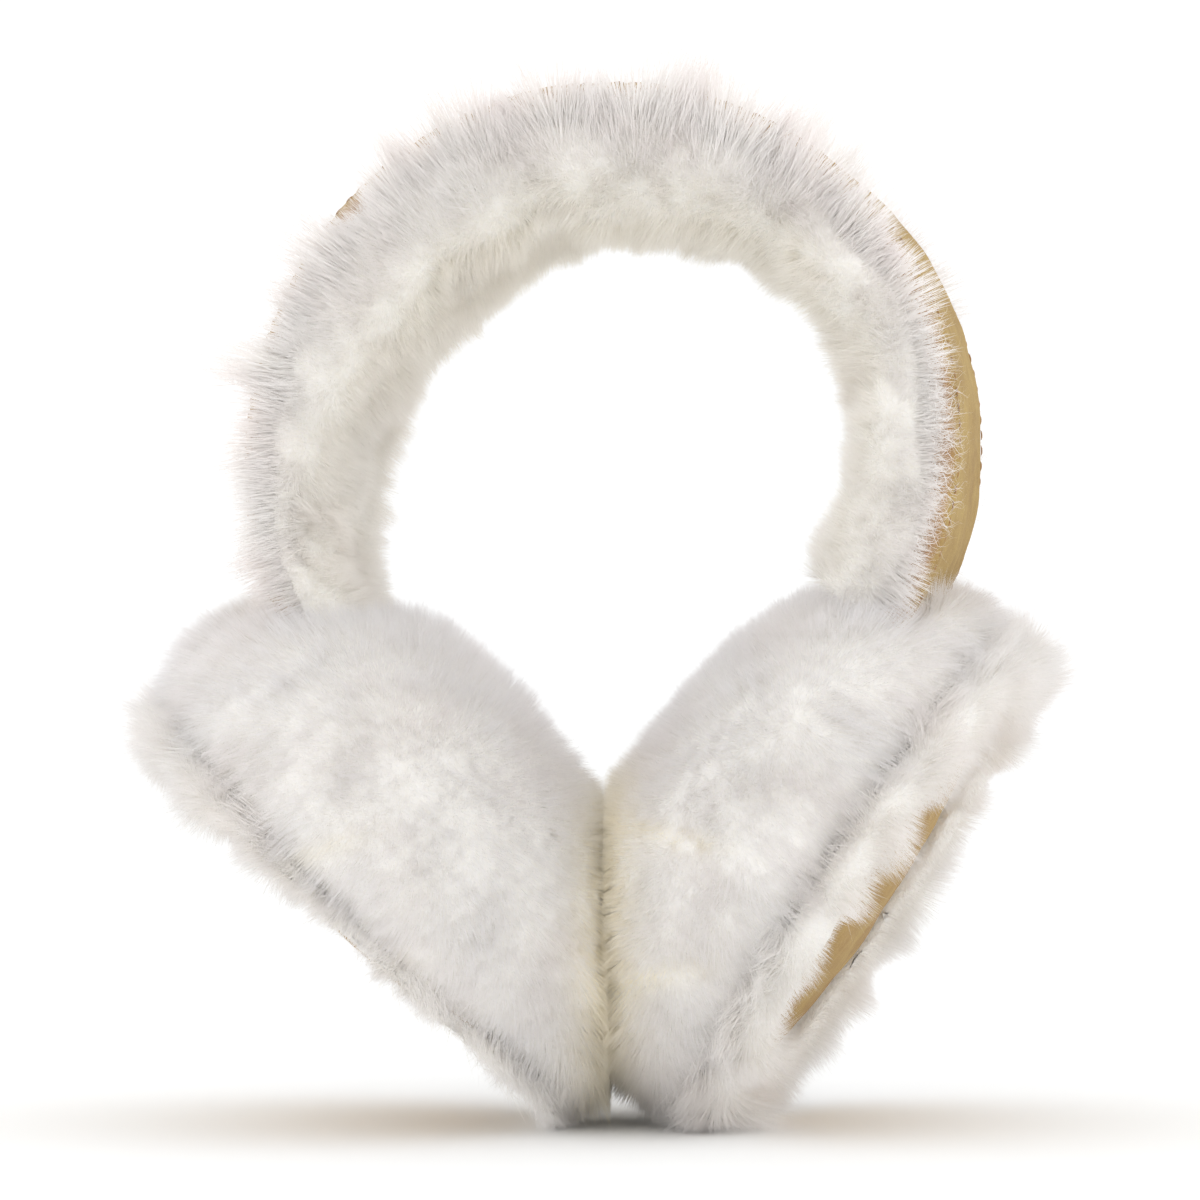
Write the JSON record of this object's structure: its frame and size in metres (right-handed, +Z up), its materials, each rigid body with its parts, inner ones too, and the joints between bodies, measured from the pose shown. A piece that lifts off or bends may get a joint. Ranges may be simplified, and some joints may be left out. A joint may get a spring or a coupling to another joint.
{
  "type": "fur earmuffs",
  "caption": "Fur earmuffs: a suede headband lined with deep fleece arches over round fur ear pads whose outer sides are suede discs in a fur fringe.",
  "frame": {"origin": "on the floor, under the middle of the earmuffs' bounding box, as they stand on their ear pads", "axes": "+Z up, through the top of the headband; +X towards the right ear pad as seen from the front; -Y to the front, where the headband's edge faces"},
  "size_m": [0.185, 0.142, 0.2139],
  "materials": {
    "suede": "matt tan suede with a short nap",
    "band_fleece": "long off-white fleece in loose tufts",
    "pad_fur": "dense soft off-white fur"
  },
  "bodies": {
    "root": {"band_cover": "suede", "band_fleece": "band_fleece", "left_pad_cushion": "pad_fur", "left_pad_disc": "suede", "left_pad_fringe": "pad_fur", "right_pad_cushion": "pad_fur", "right_pad_disc": "suede", "right_pad_fringe": "pad_fur"}
  },
  "joints": []
}
